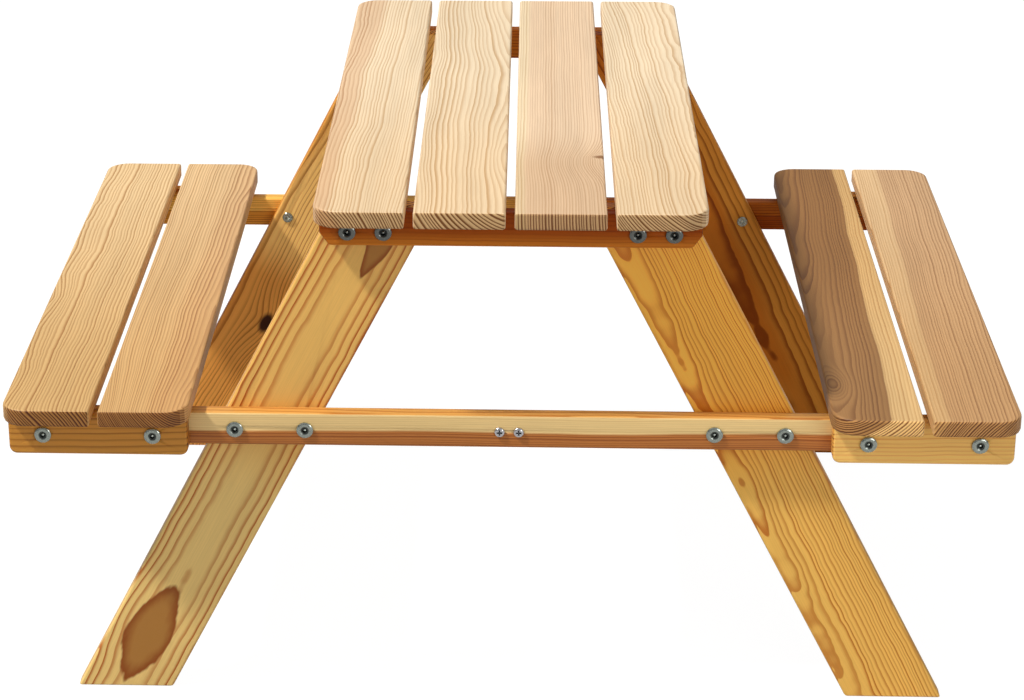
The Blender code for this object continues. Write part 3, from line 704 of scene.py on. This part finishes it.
def dress_boards():
    """Gives each board its pine, and smooth shading over its eased edges."""
    for name, (family, own) in BOARDS.items():
        board = nodes[name]
        board.material_slots[0].material = pine(name, {**family, **own})
        weld = board.modifiers.new("weld", "WELD")
        weld.merge_threshold = WELD_DISTANCE
        board.modifiers.new("edge_shading", "WEIGHTED_NORMAL")


def make_bench_screws(mesh, steel):
    """The screws that hold the benches' slats, driven up through the cleats."""
    for side, to_side in (("left", -1), ("right", 1)):
        for end in ("front", "rear"):
            cleat_low, cleat_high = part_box(f"bench_cleat_{end}_{side}")
            y = (cleat_low[1] + cleat_high[1]) / 2
            number = 1
            for row in ("inner", "outer"):
                low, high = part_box(f"bench_slat_{side}_{row}")
                seat = low[2] + SCREW_BITE - SCREW_LENGTH
                for offset in (-BENCH_SCREW_SPREAD, BENCH_SCREW_SPREAD):
                    x = (low[0] + high[0]) / 2 + to_side * offset
                    name = f"bench_screw_{side}_{end}_{number}"
                    put(name, mesh, (x, y, seat), (0, 0, -1), steel)
                    number += 1


def make_fasteners():
    """Turned bolts and screws in place of the faceted ones, and the screws under the benches."""
    zinc = metal("zinc_plate", linear(172, 180, 172), 0.24, 400, 0.10, SOCKET_RECESS, True)
    # The second plating is the first one darker: painted shade for the bearers' bolts under the
    # tabletop's overhang.
    shaded_zinc = metal("zinc_painted_shade", linear(116, 118, 114), 0.22, 400, 0.10, SOCKET_RECESS, True)
    steel = metal("bright_steel", linear(216, 216, 220), 0.18, 500, 0.06)
    crossed = metal("crossed_steel", linear(216, 216, 220), 0.18, 500, 0.06, CROSS_RECESS)
    meshes = {}
    screw = slat_screw_mesh()
    centre_screw = centre_screw_mesh()
    for name in nodes:
        low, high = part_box(name)
        middle = (Vector(low) + Vector(high)) / 2
        outward = -1 if middle.y < 0 else 1
        if "_bolt_" in name:
            grip = high[1] - low[1] - HEAD_THICKNESS - FLANGE_THICKNESS
            # Bearer bolts take the darker plating, which is painted shade.
            plate = shaded_zinc if name.startswith("bearer") else zinc
            kind = (round(grip, 5), plate.name)
            if kind not in meshes:
                meshes[kind] = bolt_mesh(grip)
            mesh = meshes[kind]
            outer = low[1] if outward < 0 else high[1]
            place = (middle.x, outer - outward * HEAD_THICKNESS, middle.z)
            put(name + "_turned", mesh, place, (0, outward, 0), plate, name)
        elif name.startswith("slat_screw"):
            place = (middle.x, middle.y, low[2] + SCREW_HEAD)
            put(name + "_turned", screw, place, (0, 0, -1), steel, name)
        elif name.startswith("rail_centre"):
            place = (middle.x, low[1] + CENTRE_SCREW_HEAD, middle.z)
            put(name + "_turned", centre_screw, place, (0, -1, 0), crossed, name)
    make_bench_screws(screw, steel)


def aim(item, place, target):
    """Places an object so that its -Z axis looks at the target."""
    item.location = place
    item.rotation_euler = (Vector(target) - Vector(place)).to_track_quat("-Z", "Y").to_euler()


def new_light(kind, name, place, target, strength, colour, **settings):
    """A light at a place, aimed at the target."""
    data = bpy.data.lights.new(name, kind)
    data.energy = strength
    data.color = colour
    for key, value in settings.items():
        setattr(data, key, value)
    item = bpy.data.objects.new(name, data)
    bpy.context.scene.collection.objects.link(item)
    aim(item, place, target)
    return item


def make_studio():
    """A pale floor, an even white surround, and soft light from above and in front."""
    bpy.ops.mesh.primitive_plane_add(size=FLOOR_SIZE, location=FLOOR_PLACE)
    floor = bpy.context.object
    floor.name = "studio_floor"
    material = bpy.data.materials.new("studio_floor")
    material.use_nodes = True
    tree = material.node_tree
    tree.nodes.clear()
    g = Graph(tree)
    path = g.node("ShaderNodeLightPath")
    matt = g.node("ShaderNodeBsdfDiffuse")
    matt.inputs["Color"].default_value = (FLOOR_GREY, FLOOR_GREY, FLOOR_GREY, 1)
    glow = g.node("ShaderNodeEmission")
    glow.inputs["Strength"].default_value = FLOOR_GLOW
    mix = g.node("ShaderNodeMixShader")
    seen = g.math("MULTIPLY", path.outputs["Is Camera Ray"], FLOOR_GLOW_SHARE)
    g.plug(mix.inputs[0], seen)
    tree.links.new(matt.outputs[0], mix.inputs[1])
    tree.links.new(glow.outputs[0], mix.inputs[2])
    output = g.node("ShaderNodeOutputMaterial")
    tree.links.new(mix.outputs[0], output.inputs[0])
    floor.data.materials.append(material)
    world = bpy.data.worlds.new("studio")
    bpy.context.scene.world = world
    world.use_nodes = True
    w = Graph(world.node_tree)
    sky = world.node_tree.nodes["Background"]
    height = w.separate(w.node("ShaderNodeTexCoord").outputs["Generated"])[2]
    glow = w.step(height, *SKY_RISE, SKY_LOW, SKY_HIGH)
    seen = w.node("ShaderNodeLightPath").outputs["Is Camera Ray"]
    w.plug(sky.inputs["Strength"], w.between(seen, glow, 1.0))
    sky.inputs["Color"].default_value = (1, 1, 1, 1)
    new_light("SUN", "key", KEY_PLACE, LIT_POINT, KEY_STRENGTH, KEY_COLOUR,
              angle=math.radians(KEY_ANGLE))
    new_light("AREA", "front_fill", FILL_PLACE, LIT_POINT, FILL_STRENGTH, FILL_COLOUR,
              shape="RECTANGLE", size=FILL_SIZE[0], size_y=FILL_SIZE[1])


def make_camera():
    """The camera of the photo, from the fitted angles."""
    yaw, pitch, roll = (math.radians(a) for a in (CAMERA_YAW, CAMERA_PITCH, CAMERA_ROLL))
    ahead = Vector((math.sin(yaw) * math.cos(pitch), math.cos(yaw) * math.cos(pitch),
                    -math.sin(pitch)))
    level = Vector((math.cos(yaw), -math.sin(yaw), 0))
    upright = level.cross(ahead)
    right = level * math.cos(roll) + upright * math.sin(roll)
    up = upright * math.cos(roll) - level * math.sin(roll)
    data = bpy.data.cameras.new("photo_camera")
    data.sensor_width = 36
    data.sensor_fit = "HORIZONTAL"
    data.lens = CAMERA_LENS
    data.shift_x, data.shift_y = CAMERA_SHIFT
    item = bpy.data.objects.new("photo_camera", data)
    bpy.context.scene.collection.objects.link(item)
    turn = Matrix((right, up, -ahead)).transposed().to_4x4()
    item.matrix_world = Matrix.Translation(CAMERA_PLACE) @ turn
    bpy.context.scene.camera = item


dress_boards()
make_fasteners()
make_studio()
make_camera()
bpy.context.scene.view_settings.view_transform = "Standard"
